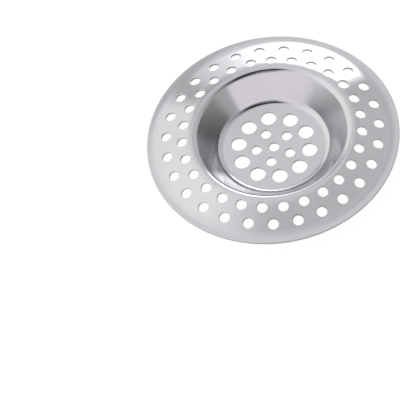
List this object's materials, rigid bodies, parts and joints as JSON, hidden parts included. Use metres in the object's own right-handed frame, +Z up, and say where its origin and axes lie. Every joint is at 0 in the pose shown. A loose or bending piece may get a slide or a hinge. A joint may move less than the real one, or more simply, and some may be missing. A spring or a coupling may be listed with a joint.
{
  "type": "sink strainer",
  "caption": "Drop-in drain strainer: a shallow perforated steel cup with a sloping perforated flange and a flat rim.",
  "frame": {"origin": "centre of the cup's underside, on the plane that the strainer stands on", "axes": "+Z up along the strainer's axis, out of the cup's mouth; a large floor hole lies on +Y"},
  "size_m": [0.07, 0.07, 0.0079],
  "materials": {
    "stainless_sheet": "satin"
  },
  "bodies": {
    "root": {"rim": "stainless_sheet", "flange": "stainless_sheet", "cup_wall": "stainless_sheet", "cup_floor": "stainless_sheet"}
  },
  "joints": []
}
